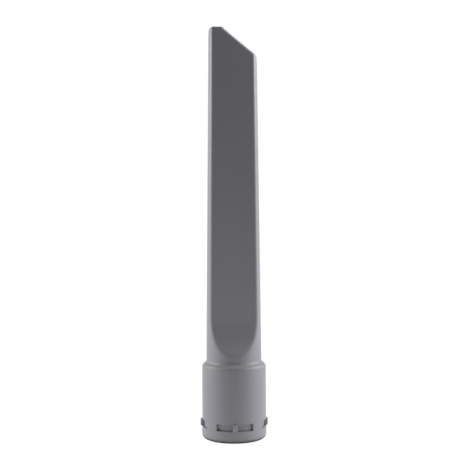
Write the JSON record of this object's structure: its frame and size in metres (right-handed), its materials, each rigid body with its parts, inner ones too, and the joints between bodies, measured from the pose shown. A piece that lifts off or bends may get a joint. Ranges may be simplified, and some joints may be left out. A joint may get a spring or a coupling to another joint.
{
  "type": "vacuum crevice tool",
  "caption": "One-piece moulded crevice nozzle: a round wand socket with a ribbed collar, a shoulder and a long flat-sided blade with a slanted open mouth.",
  "frame": {"origin": "centre of the socket's open end, which is the face that the nozzle stands on", "axes": "+Z along the socket axis towards the tip, -Y the front flat, +X the side that the slanted mouth falls to"},
  "size_m": [0.0422, 0.0422, 0.255],
  "materials": {
    "grey_plastic": "satin moulded grey plastic"
  },
  "bodies": {
    "root": {"crevice_nozzle": "grey_plastic"}
  },
  "joints": []
}
